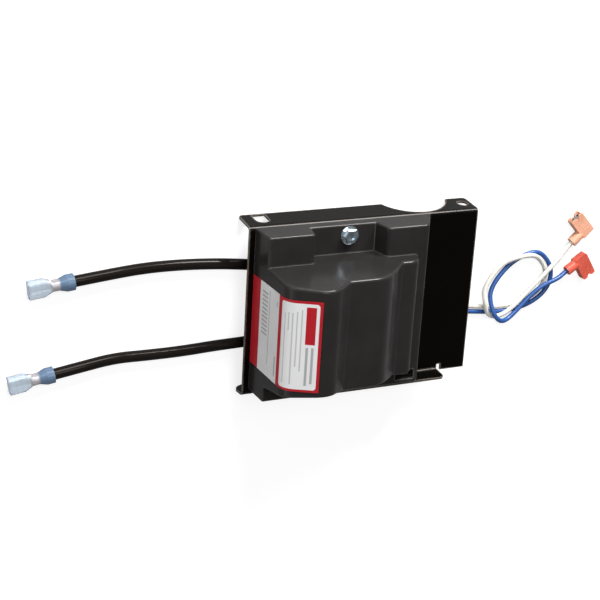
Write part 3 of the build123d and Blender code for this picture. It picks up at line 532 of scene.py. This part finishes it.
wall_way = (SHOULDER - WALL_FOOT).normalized()
slope_way = (SLOPE_END - SHOULDER).normalized()
wall_out = Vector((-wall_way.y, wall_way.x))
slope_out = Vector((-slope_way.y, slope_way.x))
shoulder_turn = wall_way.angle(slope_way)
shoulder_tangent = SHOULDER_RADIUS * tan(shoulder_turn / 2)
label_origin = WALL_FOOT + wall_way * LABEL_START
wall_run = (SHOULDER - label_origin).length - shoulder_tangent
shoulder_centre = SHOULDER - wall_way * shoulder_tangent - wall_out * SHOULDER_RADIUS
shoulder_run = (SHOULDER_RADIUS + LABEL_THICKNESS) * shoulder_turn
slope_origin = SHOULDER + slope_way * shoulder_tangent
slope_run = (LABEL_END_X - (slope_origin + slope_out * LABEL_THICKNESS).x) / slope_way.x
label_cut = LABEL_SPLIT - LABEL_START
label_run = wall_run + shoulder_run + slope_run


def over_hump(run, lift):
    """The place across the hump, as X and Z on the plate, at a run along the label's outer face."""
    if run < wall_run:
        return label_origin + wall_way * run + wall_out * lift
    if run < wall_run + shoulder_run:
        angle = (run - wall_run) / (SHOULDER_RADIUS + LABEL_THICKNESS)
        outward = wall_out * cos(angle) + wall_way * sin(angle)
        return shoulder_centre + outward * (SHOULDER_RADIUS + lift)
    return slope_origin + slope_way * (run - wall_run - shoulder_run) + slope_out * lift


def label_point(run, height, lift):
    """A point of a label in the row frame, in metres."""
    place = over_hump(run, lift)
    return (
        (place.x - PLATE_HALF_WIDTH) * MM,
        (height - PLATE_HALF_HEIGHT) * MM,
        (place.y + PLATE_FRONT) * MM,
    )


def label_sheet(name, node, first, last, material):
    """A thin sheet bent over the hump between two runs, with its run and height as texture places."""
    runs = [first + (last - first) * i / LABEL_STEPS for i in range(LABEL_STEPS + 1)]
    heights = [LABEL_BOTTOM, LABEL_TOP]
    mesh = bpy.data.meshes.new(name)
    shape = bmesh.new()
    prints = shape.loops.layers.uv.new("print")
    outer, inner = (
        [[shape.verts.new(label_point(run, height, lift)) for height in heights] for run in runs]
        for lift in (LABEL_THICKNESS, LABEL_GAP)
    )
    faces = []
    for i in range(LABEL_STEPS):
        faces.append([(outer, i, 0), (outer, i, 1), (outer, i + 1, 1), (outer, i + 1, 0)])
        faces.append([(inner, i, 0), (inner, i + 1, 0), (inner, i + 1, 1), (inner, i, 1)])
        faces.append([(outer, i, 0), (outer, i + 1, 0), (inner, i + 1, 0), (inner, i, 0)])
        faces.append([(outer, i, 1), (inner, i, 1), (inner, i + 1, 1), (outer, i + 1, 1)])
    end = LABEL_STEPS
    faces.append([(outer, 0, 0), (inner, 0, 0), (inner, 0, 1), (outer, 0, 1)])
    faces.append([(outer, end, 0), (outer, end, 1), (inner, end, 1), (inner, end, 0)])
    for corners in faces:
        face = shape.faces.new([side[i][j] for side, i, j in corners])
        face.smooth = corners[0][0] is corners[2][0]
        for loop, (side, i, j) in zip(face.loops, corners):
            loop[prints].uv = (runs[i], heights[j])
    bmesh.ops.recalc_face_normals(shape, faces=shape.faces)
    for edge in shape.edges:
        edge.smooth = all(face.smooth for face in edge.link_faces)
    shape.to_mesh(mesh)
    shape.free()
    mesh.materials.append(material)
    piece = bpy.data.objects.new(name, mesh)
    scene.collection.objects.link(piece)
    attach(piece, "root")
    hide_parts(node)


# Prints: each plain field is its first and last run and its low and high side, in millimetres
RED = (0.46, 0.012, 0.02)
PALE = (0.78, 0.775, 0.78)
WHITE = (0.8, 0.8, 0.805)
GREY = (0.3, 0.3, 0.31)
FIELD_BLUR = 0.05
RATING_SHADE = 0.93
RATING_RED = ((-1.0, 8.1, 0.0, 100.0), (27.6, 28.4, 0.0, 100.0))
RATING_BARS = (10.6, 16.2, 35.0, 55.6)
RATING_BAR_PITCH = 1.9
RATING_LINES = ((17.7, 18.3, 23.0, 56.8), (24.9, 26.0, 19.9, 29.2), (25.4, 26.1, 52.2, 54.6))
RATING_GREY_SHARE = 0.75
FRONT_PANEL = (30.6, 48.3, 18.1, 57.5)
FRONT_PANEL_CORNER = 1.4
FRONT_BLOCK = (42.6, 46.9, 39.0, 56.0)
FRONT_BARS = ((45.4, 46.5, 21.0, 37.6), (43.0, 44.1, 20.0, 37.6))
FRONT_BAR_SHARE = 0.8
FRONT_LINE_SHARE = 0.55
FRONT_LINES = (
    (40.5, 41.1, 26.5, 54.6),
    (38.5, 39.1, 28.5, 53.6),
    (36.5, 37.1, 20.2, 53.0),
    (34.6, 35.2, 44.8, 53.0),
    (32.8, 33.3, 20.3, 52.4),
)


class Print(Finish):
    """Printed film, with the run and height of the place on the print."""

    def __init__(self, name):
        super().__init__(name)
        uv = self.add("ShaderNodeUVMap", uv_map="print")
        split = self.add("ShaderNodeSeparateXYZ")
        self.join(uv.outputs[0], split.inputs[0])
        self.run = split.outputs[0]
        self.height = split.outputs[1]
        fine = self.noise(self.place(), 1500.0, detail=3.0)
        self.bump(fine, strength=0.08, distance=0.00002)
        self.set(Roughness=self.stretch(fine, 0.32, 0.44), Specular_IOR_Level=0.25)

    def within(self, value, low, high):
        """How far a value lies inside two limits, below 0 outside them."""
        past_low = self.maths("SUBTRACT", value, low)
        short_of_high = self.maths("SUBTRACT", high, value)
        return self.maths("MINIMUM", past_low, short_of_high)

    def field(self, first, last, low, high):
        """1 inside a plain rectangle of the print, 0 outside."""
        across = self.within(self.run, first, last)
        along = self.within(self.height, low, high)
        return self.span(self.maths("MINIMUM", across, along), -FIELD_BLUR, FIELD_BLUR)

    def fields(self, rectangles):
        """1 inside any of a few rectangles, 0 outside."""
        total = 0.0
        for rectangle in rectangles:
            total = self.maths("MAXIMUM", total, self.field(*rectangle))
        return total

    def past_straight(self, value, low, high, corner):
        """How far a value lies beyond the straight part of a side between two corners, or 0."""
        from_middle = self.maths("ABSOLUTE", self.maths("SUBTRACT", value, (low + high) / 2))
        straight = (high - low) / 2 - corner
        return self.maths("MAXIMUM", self.maths("SUBTRACT", from_middle, straight), 0.0)

    def round_field(self, first, last, low, high, corner):
        """1 inside a rectangle with rounded corners, 0 outside."""
        across = self.past_straight(self.run, first, last, corner)
        along = self.past_straight(self.height, low, high, corner)
        squares = [self.maths("MULTIPLY", side, side) for side in (across, along)]
        distance = self.maths("SQRT", self.maths("ADD", *squares))
        return self.span(distance, corner + FIELD_BLUR, corner - FIELD_BLUR)


def rating_print():
    """Pale film with a red field along the plate and a few plain bars."""
    n = Print("rating_print")
    comb = n.maths("GREATER_THAN", n.maths("FRACT", n.maths("DIVIDE", n.height, RATING_BAR_PITCH)), 0.5)
    bars = n.maths("MULTIPLY", n.field(*RATING_BARS), comb)
    lines = n.maths("MAXIMUM", bars, n.fields(RATING_LINES))
    slow = n.noise(n.place(), 90.0, detail=2.0)
    base = n.mix(n.stretch(slow), PALE, tuple(c * RATING_SHADE for c in PALE))
    base = n.mix(n.maths("MULTIPLY", lines, RATING_GREY_SHARE), base, GREY)
    n.set(Base_Color=n.mix(n.fields(RATING_RED), base, RED))
    return n.material


def front_print():
    """White film with a red border, one red block and plain bars."""
    n = Print("front_print")
    base = n.mix(n.maths("MULTIPLY", n.fields(FRONT_BARS), FRONT_BAR_SHARE), WHITE, GREY)
    base = n.mix(n.maths("MULTIPLY", n.fields(FRONT_LINES), FRONT_LINE_SHARE), base, GREY)
    base = n.mix(n.field(*FRONT_BLOCK), base, RED)
    n.set(Base_Color=n.mix(n.round_field(*FRONT_PANEL, FRONT_PANEL_CORNER), RED, base))
    return n.material


label_sheet("rating_sheet", "rating_label", 0.0, label_cut, rating_print())
label_sheet("front_sheet", "front_label", label_cut, label_run, front_print())

# Floor: it glows less near the part than far from it
FLOOR_HALF_SIDE = 8.0
FLOOR_COLOUR = (0.45, 0.45, 0.45)
FLOOR_MIRRORED = (0.22, 0.22, 0.22)
GLOW_BY_DISTANCE = (0.35, 1.2, 0.77, 1.0)
GLOW_MIRRORED = 0.1

# Surround: two limits of a direction, and the strength at each
LIGHT_BY_HEIGHT = (0.1, 0.7, 0.4, 0.08)
LIGHT_BY_SIDE = (-0.8, 0.8, 3.3, 0.2)
MIRRORED_BY_HEIGHT = (0.1, 0.45, 0.15, 0.0)

# Lamps: the place, size and power of each
LAMPS = {
    "key": ((0.0, 0.95, 0.45), 0.4, 6.6),
    "rim": ((0.46, 0.94, 0.38), 0.35, 14.0),
    "top": ((-0.1, 0.4, 1.1), 0.5, 3.8),
}


def add_floor():
    """A wide pale floor under the part, darker where it is mirrored than where it is seen."""
    mesh = bpy.data.meshes.new("floor")
    side = FLOOR_HALF_SIDE
    corners = [(-side, -side, 0.0), (side, -side, 0.0), (side, side, 0.0), (-side, side, 0.0)]
    mesh.from_pydata(corners, [], [(0, 1, 2, 3)])
    floor = bpy.data.objects.new("floor", mesh)
    scene.collection.objects.link(floor)
    n = Finish("floor")
    rays = n.add("ShaderNodeLightPath")
    mirrored = rays.outputs["Is Glossy Ray"]
    far = n.add("ShaderNodeVectorMath", operation="LENGTH")
    n.join(n.place(), far.inputs[0])
    glow = n.span(far.outputs["Value"], *GLOW_BY_DISTANCE)
    share = n.maths("MAXIMUM", n.seen(rays), n.maths("MULTIPLY", mirrored, GLOW_MIRRORED))
    n.set(
        Base_Color=n.mix(mirrored, FLOOR_COLOUR, FLOOR_MIRRORED),
        Roughness=0.7,
        Specular_IOR_Level=0.1,
        Emission_Color=(1.0, 1.0, 1.0),
        Emission_Strength=n.maths("MULTIPLY", share, glow),
    )
    mesh.materials.append(n.material)


def add_world():
    """A surround that lights from low down and the left, and is plain white where it is seen."""
    world = bpy.data.worlds.new("surround")
    world.use_nodes = True
    scene.world = world
    n = Tree(world.node_tree)
    back = n.tree.nodes["Background"]
    back.inputs["Color"].default_value = (1.0, 1.0, 1.0, 1.0)
    split = n.add("ShaderNodeSeparateXYZ")
    n.join(n.add("ShaderNodeTexCoord").outputs["Generated"], split.inputs[0])
    rays = n.add("ShaderNodeLightPath")
    up = split.outputs["Z"]
    across = split.outputs["X"]
    lit = n.maths("MULTIPLY", n.span(up, *LIGHT_BY_HEIGHT), n.span(across, *LIGHT_BY_SIDE))
    mirrored = n.maths("MULTIPLY", rays.outputs["Is Glossy Ray"], n.span(up, *MIRRORED_BY_HEIGHT))
    strength = n.maths("MAXIMUM", n.maths("MAXIMUM", lit, mirrored), n.seen(rays))
    n.join(strength, back.inputs["Strength"])


def add_lamp(name, place, size, power):
    """A square soft light that points at the part."""
    data = bpy.data.lights.new(name, "AREA")
    data.shape = "SQUARE"
    data.size = size
    data.energy = power
    lamp = bpy.data.objects.new(name, data)
    lamp.location = place
    lamp.rotation_euler = (-Vector(place)).to_track_quat("-Z", "Y").to_euler()
    scene.collection.objects.link(lamp)


add_floor()
add_world()
for name, (place, size, power) in LAMPS.items():
    add_lamp(name, place, size, power)
